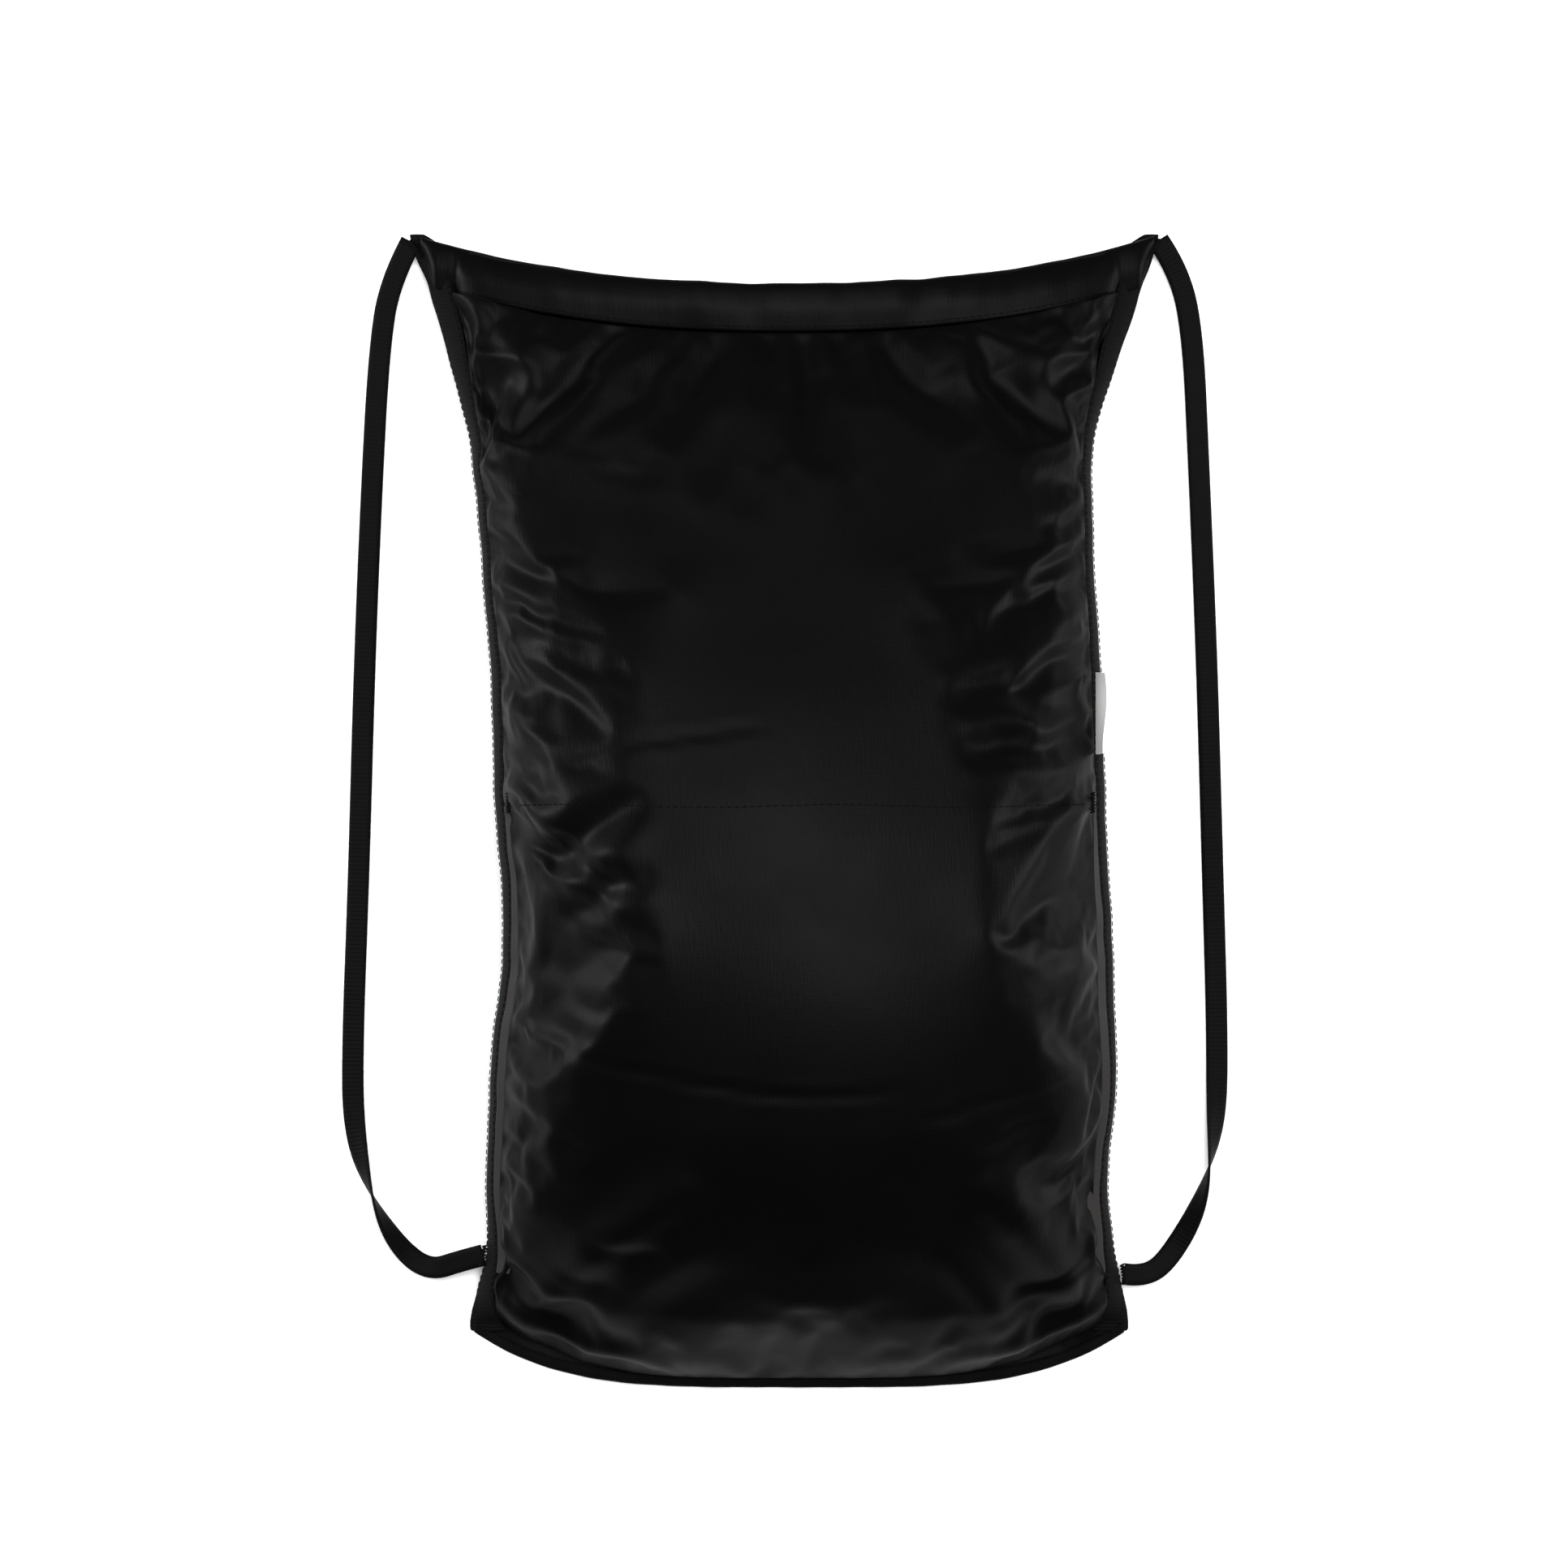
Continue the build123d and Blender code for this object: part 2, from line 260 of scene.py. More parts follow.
# ------------------------------------------------------------------------------
# Front of the sack. One cut of thin nylon, sewn to the side tapes and the bottom seam
# and gathered a little, so that it puckers along every seam when the bag is filled.
# The cloth is grown against its held edges. The folds it settles into are kept and made
# a third deeper, and its broad swell is left out, so that the filled shape stays.
# ------------------------------------------------------------------------------
BELLY_DEPTH = 0.122
SEAM_HEIGHT = 0.034
TAPE_WIDTH = 0.015
TOP_ROW = 0.257
BOTTOM_ROW = -0.238
TOP_DIP = 0.020
BOTTOM_SAG = 0.027
CASING_WIDTH = 0.022
POCKET_TOP = 0.0
POCKET_END = -0.214
POCKET_INSET = 0.7
SLACK_START = 0.985
# Distance up the side seam, left edge, right edge, seam height share, depth share, tape shown.
STATIONS = [
    (-0.238, -0.1465, 0.1575, 0.03, 0.04, 0.0147),
    (-0.225, -0.1430, 0.1548, 0.14, 0.25, 0.0090),
    (-0.205, -0.1380, 0.1500, 0.30, 0.46, 0.0060),
    (-0.170, -0.1373, 0.1468, 0.60, 0.71, 0.0045),
    (-0.120, -0.1352, 0.1498, 0.86, 0.90, 0.0040),
    (-0.060, -0.1290, 0.1475, 1.00, 1.00, 0.0050),
    (0.000, -0.1329, 0.1446, 1.00, 0.98, 0.0050),
    (0.060, -0.1351, 0.1429, 0.88, 0.86, 0.0050),
    (0.120, -0.1400, 0.1396, 0.70, 0.68, 0.0045),
    (0.170, -0.1460, 0.1406, 0.50, 0.52, 0.0055),
    (0.210, -0.1570, 0.1540, 0.32, 0.38, 0.0095),
    (0.240, -0.1655, 0.1638, 0.20, 0.28, 0.0115),
    (0.257, -0.1725, 0.1698, 0.12, 0.20, 0.0140),
]


def station(y):
    """The sack's side values at a height up the seam, on a smooth curve through the stations."""
    last = len(STATIONS) - 1
    i = 0
    while i < last - 1 and y > STATIONS[i + 1][0]:
        i += 1
    before, low, high, after = (STATIONS[max(min(j, last), 0)] for j in (i - 1, i, i + 1, i + 2))
    t = (y - low[0]) / (high[0] - low[0])
    values = []
    for a, b, c, d in zip(before, low, high, after):
        cubic = 3 * (b - c) + d - a
        square = 2 * a - 5 * b + 4 * c - d
        values.append(b + 0.5 * t * (c - a + t * (square + t * cubic)))
    return values


def tape_edges(y, side):
    """Front and back edge of the side tape at a height up the seam, as (x, z) pairs."""
    _, left, right, seam, _, shown = station(y)
    outer = right if side > 0 else left
    low = max(SEAM_HEIGHT * seam, 0.0006)
    rise = math.sqrt(max(TAPE_WIDTH ** 2 - shown ** 2, 0.0))
    slow_wave = 0.0011 * noise.noise(Vector((y * 26, side * 3.0, 0)))
    wave = slow_wave + 0.0006 * noise.noise(Vector((y * 75, side, 4)))
    return (outer - side * shown + wave, low + rise), (outer + wave * 0.6, low)


def row_y(y, s):
    """Rows of the sack bow towards its bottom."""
    t = (y - BOTTOM_ROW) / (TOP_ROW - BOTTOM_ROW)
    sag = BOTTOM_SAG + (TOP_DIP - BOTTOM_SAG) * t
    return y - sag * (1 - abs(s) ** (4.0 - 1.6 * t))


def pocket_lift(y):
    """The front's free edges stand away from the tape along the pocket openings."""
    t = (y - POCKET_END) / (POCKET_TOP - POCKET_END)
    return 0.005 * math.sin(math.pi * t) ** 0.6 if 0 < t < 1 else 0.0


def front_place(u, v, low, high, drop=0.0, open_pocket=True):
    """A place on the front: u from the left tape to the right, v from low to high."""
    y = low + (high - low) * v
    angle = (u - 0.5) * math.pi
    s = math.sin(angle)
    left = tape_edges(y, -1)[0]
    right = tape_edges(y, 1)[0]
    raised = pocket_lift(y) if open_pocket else 0.0
    edge_z = (left[1] + right[1]) / 2 + raised
    depth = BELLY_DEPTH * SLACK_START * station(y)[4] - drop
    crown = max(depth - edge_z, 0.0005) * max(math.cos(angle), 0.0) ** 0.9
    half = (right[0] - left[0]) / 2 - raised * POCKET_INSET
    return Vector(((left[0] + right[0]) / 2 + s * half, row_y(y, s), edge_z + crown))


def laid_grid(name, columns, lines, place):
    """A grid of cloth with each point put where place(u, v) says."""
    bpy.ops.object.select_all(action="DESELECT")
    bpy.ops.mesh.primitive_grid_add(x_subdivisions=columns, y_subdivisions=lines, size=1)
    piece = bpy.context.object
    piece.name = name
    piece.data.name = name
    piece.data.uv_layers[0].name = "weave"
    for vertex in piece.data.vertices:
        vertex.co = place(vertex.co.x + 0.5, vertex.co.y + 0.5)
    bpy.ops.object.shade_smooth()
    return piece


def held_points(piece, columns, lines, rows_held):
    """The points along the cloth's seams, which stitching holds still."""
    held = piece.vertex_groups.new(name="held")
    width = columns + 1
    for index in range(len(piece.data.vertices)):
        row, column = divmod(index, width)
        if column in (0, columns) or row in rows_held:
            held.add([index], 1.0, "REPLACE")
    return held


def broad_part(shifts, spread):
    """The broad swell in a grid of shifts, by a wide blur that leaves the sewn edges at rest."""
    steps = np.arange(-3 * spread, 3 * spread + 1)
    weights = np.exp(-0.5 * (steps / spread) ** 2)
    weights /= weights.sum()
    for axis in (0, 1):
        margin = [(0, 0)] * 3
        margin[axis] = (3 * spread, 3 * spread)
        padded = np.pad(shifts, margin, mode="reflect", reflect_type="odd")
        shifts = np.apply_along_axis(lambda row: np.convolve(row, weights, "valid"), axis, padded)
    return shifts


CLOTH_STIFFNESS = 12


def settle_cloth(piece, columns, growth, pressure, frames, bending, spread, share):
    """Lets a sewn cloth grow against its held edges, and keeps its folds, their depth scaled by share."""
    start = np.array([v.co for v in piece.data.vertices])
    cloth = piece.modifiers.new("settle", "CLOTH")
    cloth.settings.quality = 6
    cloth.settings.mass = 0.15
    cloth.settings.tension_stiffness = CLOTH_STIFFNESS
    cloth.settings.compression_stiffness = CLOTH_STIFFNESS
    cloth.settings.shear_stiffness = CLOTH_STIFFNESS * 0.4
    cloth.settings.bending_stiffness = bending
    cloth.settings.tension_damping = 5
    cloth.settings.compression_damping = 5
    cloth.settings.air_damping = 3
    cloth.settings.vertex_group_mass = "held"
    cloth.settings.shrink_min = -growth
    cloth.settings.use_pressure = True
    cloth.settings.uniform_pressure_force = pressure
    cloth.settings.effector_weights.gravity = 0
    cloth.collision_settings.use_collision = False
    cloth.point_cache.frame_start = 1
    cloth.point_cache.frame_end = frames
    for step in range(1, frames + 1):
        bpy.context.scene.frame_set(step)
    bpy.ops.object.select_all(action="DESELECT")
    piece.select_set(True)
    bpy.context.view_layer.objects.active = piece
    bpy.ops.object.modifier_apply(modifier="settle")
    bpy.context.scene.frame_set(1)
    shifts = (np.array([v.co for v in piece.data.vertices]) - start).reshape(-1, columns + 1, 3)
    folds = (shifts - broad_part(shifts, spread)) * share
    for vertex, was, fold in zip(piece.data.vertices, start, folds.reshape(-1, 3)):
        vertex.co = was + fold


FRONT_COLUMNS = 90
FRONT_LINES = 130
FRONT_TOP = TOP_ROW - CASING_WIDTH
front = laid_grid("front_cloth", FRONT_COLUMNS, FRONT_LINES,
                  lambda u, v: front_place(u, v, BOTTOM_ROW + 0.001, FRONT_TOP))
held_points(front, FRONT_COLUMNS, FRONT_LINES, (0, FRONT_LINES))
settle_cloth(front, FRONT_COLUMNS, growth=0.03, pressure=0.7, frames=26, bending=0.1,
             spread=6, share=1.35)
# Lasting creases from folding and packing: route across the front, height and half width.
CREASES = [
    ([(-0.098, 0.017), (-0.084, 0.021), (-0.069, 0.028), (-0.034, 0.032), (-0.008, 0.036)],
     -0.0011, 0.0022),
    ([(-0.113, -0.111), (-0.091, -0.112), (-0.055, -0.120), (-0.020, -0.126), (0.011, -0.129),
      (0.056, -0.125)], -0.0012, 0.0022),
    ([(0.060, -0.140), (0.088, -0.132), (0.111, -0.125), (0.132, -0.118)], -0.0011, 0.0022),
    ([(-0.109, -0.029), (-0.088, -0.010), (-0.065, 0.005)], -0.0045, 0.0075),
    ([(-0.100, -0.052), (-0.078, -0.036), (-0.058, -0.030)], -0.0022, 0.0060),
    ([(0.078, 0.024), (0.098, 0.027), (0.118, 0.024)], -0.0035, 0.0055),
    ([(0.070, 0.046), (0.094, 0.052), (0.118, 0.046)], -0.0025, 0.0055),
    ([(-0.128, -0.240), (-0.090, -0.205), (-0.040, -0.166)], 0.0055, 0.0110),
    ([(-0.100, -0.248), (-0.066, -0.215), (-0.030, -0.190)], 0.0035, 0.0090),
    ([(0.144, -0.240), (0.118, -0.205), (0.086, -0.164)], 0.0055, 0.0110),
    ([(0.110, -0.250), (0.092, -0.224), (0.070, -0.196)], 0.0035, 0.0090),
    ([(-0.150, 0.240), (-0.128, 0.222), (-0.100, 0.200)], 0.0035, 0.0070),
    ([(-0.146, 0.226), (-0.124, 0.206), (-0.108, 0.186)], 0.0030, 0.0060),
    ([(0.150, 0.240), (0.130, 0.220), (0.104, 0.198)], 0.0035, 0.0070),
    ([(0.144, 0.224), (0.124, 0.206), (0.108, 0.190)], 0.0030, 0.0060),
]


def reach(point, start, end):
    """Distance from a point to a stretch of a crease, and how far along it the foot lies."""
    run = end - start
    t = min(max((point - start).dot(run) / run.length_squared, 0.0), 1.0)
    return (point - start - run * t).length, t


def nearest_on(route, point):
    """Distance from a point to a crease, and how far along the crease its foot lies."""
    places = [Vector(place) for place in route]
    gap, share = math.inf, 0.0
    for i, (start, end) in enumerate(zip(places, places[1:])):
        distance, t = reach(point, start, end)
        if distance < gap:
            gap, share = distance, (i + t) / (len(places) - 1)
    return gap, share


def press_creases(piece):
    """Presses each crease and the low shoulders beside it into the cloth, fading out at both ends."""
    bpy.context.view_layer.update()
    normals = [v.normal.copy() for v in piece.data.vertices]
    for vertex, normal in zip(piece.data.vertices, normals):
        here = Vector((vertex.co.x, vertex.co.y))
        shift = 0.0
        for route, depth, half in CREASES:
            gap, share = nearest_on(route, here)
            if gap < half * 3:
                fade = math.sin(math.pi * share) ** 0.5
                shoulder = 0.35 * math.exp(-(gap / half - 1.8) ** 2)
                shift += depth * fade * (math.exp(-(gap / half) ** 2) - shoulder)
        vertex.co += normal * shift


press_creases(front)

nylon_paint, nylon_shader = cloth_paint("black_nylon", (0.0014, 0.00125, 0.0013), 0.42, 0.002)
nylon_shader.inputs["Specular IOR Level"].default_value = 0.028
nylon_map = nylon_paint.node_tree.nodes.new("ShaderNodeUVMap")
nylon_map.uv_map = "weave"


def yarn_noise(across, along, detail):
    """Uneven yarn pattern, stretched along the cloth's warp."""
    spread = nylon_paint.node_tree.nodes.new("ShaderNodeMapping")
    spread.inputs["Scale"].default_value = (across, along, 1)
    grain = nylon_paint.node_tree.nodes.new("ShaderNodeTexNoise")
    grain.inputs["Scale"].default_value = 1.0
    grain.inputs["Detail"].default_value = detail
    nylon_paint.node_tree.links.new(nylon_map.outputs["UV"], spread.inputs["Vector"])
    nylon_paint.node_tree.links.new(spread.outputs["Vector"], grain.inputs["Vector"])
    return grain.outputs["Fac"]


warp_rib = yarn_noise(420, 60, 1.5)
weft_rib = yarn_noise(70, 620, 1.5)
both_ribs = nylon_paint.node_tree.nodes.new("ShaderNodeMath")
both_ribs.operation = "MULTIPLY_ADD"
both_ribs.inputs[1].default_value = 0.45
nylon_paint.node_tree.links.new(weft_rib, both_ribs.inputs[0])
nylon_paint.node_tree.links.new(warp_rib, both_ribs.inputs[2])
nylon_bump = nylon_paint.node_tree.nodes.new("ShaderNodeBump")
nylon_bump.inputs["Strength"].default_value = 0.35
nylon_bump.inputs["Distance"].default_value = 0.00025
nylon_paint.node_tree.links.new(both_ribs.outputs[0], nylon_bump.inputs["Height"])
nylon_paint.node_tree.links.new(nylon_bump.outputs["Normal"], nylon_shader.inputs["Normal"])
finish_spread = nylon_paint.node_tree.nodes.new("ShaderNodeMapRange")
finish_spread.inputs["From Min"].default_value = 0.3
finish_spread.inputs["From Max"].default_value = 0.7
finish_spread.inputs["To Min"].default_value = 0.38
finish_spread.inputs["To Max"].default_value = 0.47
nylon_paint.node_tree.links.new(yarn_noise(9, 12, 4), finish_spread.inputs["Value"])
nylon_paint.node_tree.links.new(finish_spread.outputs["Result"], nylon_shader.inputs["Roughness"])
front.data.materials.append(nylon_paint)


def finish_cloth(piece, thickness=0.0003):
    """Gives a settled cloth its thickness and smooths it once."""
    bpy.ops.object.select_all(action="DESELECT")
    piece.select_set(True)
    bpy.context.view_layer.objects.active = piece
    wall = piece.modifiers.new("wall", "SOLIDIFY")
    wall.thickness = thickness
    bpy.ops.object.modifier_apply(modifier="wall")
    smooth = piece.modifiers.new("smooth", "SUBSURF")
    smooth.levels = 1
    smooth.render_levels = 1


finish_cloth(front)
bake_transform(front)
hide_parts("front_panel")

# ------------------------------------------------------------------------------
# Back of the sack. The same nylon, lying on the floor under the packing, with its two
# sides turned up to the tapes, where the seams draw it into small folds.
# ------------------------------------------------------------------------------
BACK_COLUMNS = 90
BACK_LINES = 120
BACK_FLAT = 0.62
FLOOR_CLEAR = 0.0005


def back_place(u, v):
    """A place on the back: u from the left tape to the right, v from the bottom up."""
    y = BOTTOM_ROW + 0.001 + (FRONT_TOP - BOTTOM_ROW - 0.001) * v
    s = 1 - 2 * u
    left = tape_edges(y, -1)[1]
    right = tape_edges(y, 1)[1]
    turn = max(abs(s) - BACK_FLAT, 0.0) / (1 - BACK_FLAT)
    x = (left[0] + right[0]) / 2 + s * (right[0] - left[0]) / 2
    edge_z = left[1] if s < 0 else right[1]
    return Vector((x, row_y(y, s), FLOOR_CLEAR + (edge_z - FLOOR_CLEAR) * turn ** 2))


back = laid_grid("back_cloth", BACK_COLUMNS, BACK_LINES, back_place)
held_points(back, BACK_COLUMNS, BACK_LINES, (0, BACK_LINES))
settle_cloth(back, BACK_COLUMNS, growth=0.03, pressure=0.4, frames=20, bending=0.05,
             spread=5, share=0.7)
for vertex in back.data.vertices:
    vertex.co.z = max(vertex.co.z, FLOOR_CLEAR)
back.data.materials.append(nylon_paint)
finish_cloth(back)
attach(back, "sack")
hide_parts("back_panel")

# ------------------------------------------------------------------------------
# Pocket lining. A second layer of nylon inside the lower front. It closes the pocket
# behind and is sewn in along the straight line across the front, and only its edges
# show, through the side openings.
# ------------------------------------------------------------------------------
LINING_DROP = 0.012
LINING_CLEAR = 0.0045
lining = laid_grid("pocket_lining_cloth", 60, 50,
                   lambda u, v: front_place(u, v, BOTTOM_ROW + 0.006, POCKET_TOP, LINING_DROP, False))
bpy.context.view_layer.update()
depsgraph = bpy.context.evaluated_depsgraph_get()
for vertex in lining.data.vertices:
    vertex.co.x *= 0.972
    slack = noise.noise(vertex.co * 22.0) * 0.0012
    vertex.co.z += slack - 0.0018
    above, outer, _, _ = front.evaluated_get(depsgraph).ray_cast(
        Vector((vertex.co.x, vertex.co.y, 0.3)), Vector((0, 0, -1)))
    if above:
        vertex.co.z = min(vertex.co.z, outer.z - LINING_CLEAR)
lining.data.materials.append(nylon_paint)
finish_cloth(lining)
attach(lining, "sack")
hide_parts("pocket_lining")

# ------------------------------------------------------------------------------
# Side tapes. Ribbed grosgrain 15 mm wide, sewn between the front and the back from the
# bottom corners to the tips of the mouth, face up at the corners and on edge between.
# ------------------------------------------------------------------------------
TAPE_ENDS = (-0.2425, 0.2625)


def tape_place(side, u, v):
    """A place on a side tape: u from its front edge to its back edge, v up the bag."""
    y = TAPE_ENDS[0] + (TAPE_ENDS[1] - TAPE_ENDS[0]) * v
    seam_y = min(max(y, BOTTOM_ROW), TOP_ROW)
    front_edge, back_edge = tape_edges(seam_y, side)
    over = max(y - TOP_ROW, 0.0)
    under = max(BOTTOM_ROW - y, 0.0)
    x = front_edge[0] + (back_edge[0] - front_edge[0]) * u
    z = front_edge[1] + (back_edge[1] - front_edge[1]) * u
    bow = math.sin(math.pi * u) * 0.0008
    x += side * (bow + over * (0.3 + 1.2 * (1 - u)) - under * (1 - u) * 0.8)
    z = max(z - over * 0.4 * (1 - u) + bow, 0.0006)
    return Vector((x, y, z))


grosgrain_paint, grosgrain_shader = cloth_paint("ribbed_tape", (0.0018, 0.0018, 0.0019), 0.75, 0.01)
rib_bump(grosgrain_paint, grosgrain_shader, 300, 0.00035, 0.6)
for side_name, side in (("left", -1), ("right", 1)):
    if side > 0:
        tape = laid_grid("right_tape_cloth", 6, 220, lambda u, v: tape_place(1, u, v))
    else:
        tape = laid_grid("left_tape_cloth", 6, 220, lambda u, v: tape_place(-1, 1 - u, v))
    tape.data.materials.append(grosgrain_paint)
    finish_cloth(tape, 0.0007)
    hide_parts(side_name + "_side_tape")
    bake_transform(tape)

# ------------------------------------------------------------------------------
# Pocket facings. Smooth folded strips of lining cloth, sewn along the two side openings of the pocket,
# where they show as narrow lips between the front and the tape. Their base colour is set paler than the
# black nylon's, so that the lips read lighter than the front.
# ------------------------------------------------------------------------------
FACING_WIDTH = 0.009
# The facings' base colour is paler than the nylon's, which makes the lips read lighter than the front and
# the tape.
facing_paint, facing_shader = cloth_paint("smooth_facing", (0.020, 0.019, 0.0185), 0.45, 0.03)
rib_bump(facing_paint, facing_shader, 140, 0.0001, 0.2)


def facing_place(side, u, v):
    """A place on a facing: u from the tape inwards, v up the pocket opening."""
    y = POCKET_END + (POCKET_TOP - POCKET_END) * v
    (x, z), _ = tape_edges(y, side)
    ripple = math.sin(y * 130.0 + side) * 0.0004
    inwards = FACING_WIDTH * u
    return Vector((x - side * (inwards * 0.75 - 0.0004), y, z + inwards * 0.62 + 0.0006 + ripple * u))


for side_name, side in (("left", -1), ("right", 1)):
    if side > 0:
        facing = laid_grid("right_facing_cloth", 6, 110, lambda u, v: facing_place(1, 1 - u, v))
    else:
        facing = laid_grid("left_facing_cloth", 6, 110, lambda u, v: facing_place(-1, u, v))
    facing.data.materials.append(facing_paint)
    finish_cloth(facing, 0.0006)
    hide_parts(side_name + "_pocket_facing")
    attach(facing, "sack")

# ------------------------------------------------------------------------------
# Casings. The cloth at the mouth is folded over and stitched down, front and back, and
# both drawstrings run through the two folds. The front casing opens with the mouth.
# ------------------------------------------------------------------------------
CASING_HALF = 0.1685
CASING_BULGE = 0.0029
CASING_SIDES = 28
CASING_STEPS = 260
CASING_GRAIN = 0.09


def mouth_edge(x):
    """Distance up the bag of the mouth's folded edge, which dips in the middle."""
    return 0.2375 + 0.0245 * min(abs(x) / 0.172, 1.0) ** 2.3


def casing_place(front_side, across, turn):
    """A place on a casing: across from -1 at the left tip to 1, turn round the fold."""
    x = across * CASING_HALF
    top_y = mouth_edge(x)
    tip = smooth_step(0.955, 1.0, abs(across))
    depth = CASING_WIDTH * (1 - 0.72 * tip)
    share = (1 + math.cos(turn)) / 2
    lens = math.sin(turn) * (0.35 + 0.65 * min(share * 2.2, 1.0))
    y = top_y - depth * (1 - share)
    shade = max(1 - (x / 0.172) ** 2, 0.0)
    if front_side:
        s = max(min(x / 0.151, 1.0), -1.0)
        low_z = 0.0140 + 0.0200 * max(1 - s * s, 0.0) ** 0.45 - 0.006 * tip
        high_z = 0.009 + 0.0235 * shade
    else:
        low_z = 0.0022
        high_z = 0.0028 + 0.0015 * tip
    slow_gather = 0.0013 * noise.noise(Vector((x * 34, 2.0, 7.0)))
    gather = slow_gather + 0.0006 * noise.noise(Vector((x * 90, 5.0, 1.0)))
    bulge = CASING_BULGE * (1 - 0.45 * tip)
    z = low_z + (high_z - low_z) * share + lens * (bulge + gather * 0.5) + gather * share * 0.8
    return Vector((x, y + gather * 0.4 * share, max(z, FLOOR_CLEAR)))


def tube_mesh(name, count, steps, place, spot):
    """A closed tube whose rings are given by place(across, turn) and its map by spot(along, round)."""
    shape = bmesh.new()
    uv = shape.loops.layers.uv.new("weave")
    rings = []
    for i in range(steps + 1):
        across = -1 + 2 * i / steps
        rings.append([shape.verts.new(place(across, 2 * math.pi * j / count)) for j in range(count)])
    for i in range(steps):
        for j in range(count):
            k = (j + 1) % count
            face = shape.faces.new((rings[i][j], rings[i + 1][j], rings[i + 1][k], rings[i][k]))
            corners = [(i, j), (i + 1, j), (i + 1, j + 1), (i, j + 1)]
            for loop, (a, b) in zip(face.loops, corners):
                loop[uv].uv = spot(a / steps, b / count)
            face.smooth = True
    shape.faces.new(rings[0])
    shape.faces.new(rings[-1])
    bmesh.ops.recalc_face_normals(shape, faces=shape.faces)
    data = bpy.data.meshes.new(name)
    shape.to_mesh(data)
    shape.free()
    piece = bpy.data.objects.new(name, data)
    bpy.context.collection.objects.link(piece)
    return piece


def casing_mesh(name, front_side):
    """A flattened tube of folded cloth, closed at both tips."""
    piece = tube_mesh(name, CASING_SIDES, CASING_STEPS,
                      lambda across, turn: casing_place(front_side, across, turn),
                      lambda along, around: (along, around * CASING_GRAIN))
    piece.data.materials.append(nylon_paint)
    return piece


front_hem = casing_mesh("front_casing_cloth", True)
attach(front_hem, "mouth_front")
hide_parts("front_casing")
back_hem = casing_mesh("back_casing_cloth", False)
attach(back_hem, "sack")
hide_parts("back_casing")

# ------------------------------------------------------------------------------
# Drawstring runs. The webbing goes on inside the two casings from each corner. These
# are the frame's own pieces, finished in the webbing's weave.
# ------------------------------------------------------------------------------
inner_paint, inner_shader = cloth_paint("casing_webbing", (0.0018, 0.0018, 0.0019), 0.62, 0.01)
place_node = inner_paint.node_tree.nodes.new("ShaderNodeTexCoord")
weave_node = inner_paint.node_tree.nodes.new("ShaderNodeTexWave")
weave_node.inputs["Scale"].default_value = 280
inner_bump = inner_paint.node_tree.nodes.new("ShaderNodeBump")
inner_bump.inputs["Strength"].default_value = 0.5
inner_bump.inputs["Distance"].default_value = 0.0002
inner_paint.node_tree.links.new(place_node.outputs["Object"], weave_node.inputs["Vector"])
inner_paint.node_tree.links.new(weave_node.outputs["Fac"], inner_bump.inputs["Height"])
inner_paint.node_tree.links.new(inner_bump.outputs["Normal"], inner_shader.inputs["Normal"])
for hand_name in ("left", "right"):
    for run in ("front", "back"):
        run_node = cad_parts[f"{hand_name}_drawstring_{run}_run"]
        run_node.data.materials.clear()
        run_node.data.materials.append(inner_paint)

# ------------------------------------------------------------------------------
# Bottom binding. A narrow folded tape closes the raw edges of the front and the back
# along the bottom, from corner to corner.
# ------------------------------------------------------------------------------
BINDING_WIDTH = 0.0055
BINDING_THICKNESS = 0.0030


def binding_place(across, turn):
    """A place on the binding: across from the left corner to the right, turn round it."""
    s = across * 0.985
    left = tape_edges(BOTTOM_ROW, -1)[1][0]
    right = tape_edges(BOTTOM_ROW, 1)[1][0]
    x = (left + right) / 2 + s * (right - left) / 2
    y = row_y(BOTTOM_ROW, s) - 0.0006 + math.cos(turn) * BINDING_WIDTH / 2
    pucker = 0.00035 * math.sin(x * 330) + 0.0003 * math.sin(x * 141)
    z = 0.0019 + math.sin(turn) * BINDING_THICKNESS / 2 + pucker
    return Vector((x, y, max(z, 0.0003)))


binding = tube_mesh("bottom_binding_tape", 14, 200, binding_place, lambda along, around: (around, along))
binding.data.materials.append(grosgrain_paint)
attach(binding, "sack")
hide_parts("bottom_binding")

# ------------------------------------------------------------------------------
# Stitching. Black polyester thread. Lockstitch runs along both edges of each tape, the
# casings' folds and the top of the pocket, and each stitch is a short raised loop.
# ------------------------------------------------------------------------------
thread_paint, thread_shader = cloth_paint("polyester_thread", (0.0015, 0.0015, 0.0016), 0.6, 0.005)
thread_place = thread_paint.node_tree.nodes.new("ShaderNodeTexCoord")
thread_twist = thread_paint.node_tree.nodes.new("ShaderNodeTexNoise")
thread_twist.inputs["Scale"].default_value = 2500
thread_bump = thread_paint.node_tree.nodes.new("ShaderNodeBump")
thread_bump.inputs["Strength"].default_value = 0.15
thread_bump.inputs["Distance"].default_value = 0.0001
thread_paint.node_tree.links.new(thread_place.outputs["Object"], thread_twist.inputs["Vector"])
thread_paint.node_tree.links.new(thread_twist.outputs["Fac"], thread_bump.inputs["Height"])
thread_paint.node_tree.links.new(thread_bump.outputs["Normal"], thread_shader.inputs["Normal"])
STITCH_PITCH = 0.0034
STITCH_LENGTH = 0.0025
THREAD_RADIUS = 0.00024
THREAD_SIDES = 6
STITCH_RINGS = [(-0.5, 0.35, -0.6), (-0.3, 1.0, 0.35), (0.3, 1.0, 0.35), (0.5, 0.35, -0.6)]


def skin_loop(shape, rings):
    """Closes the rings of one loop of thread with sides and two ends."""
    for one, two in zip(rings, rings[1:]):
        for j in range(THREAD_SIDES):
            k = (j + 1) % THREAD_SIDES
            shape.faces.new((one[j], one[k], two[k], two[j]))
    shape.faces.new(list(reversed(rings[0])))
    shape.faces.new(rings[-1])


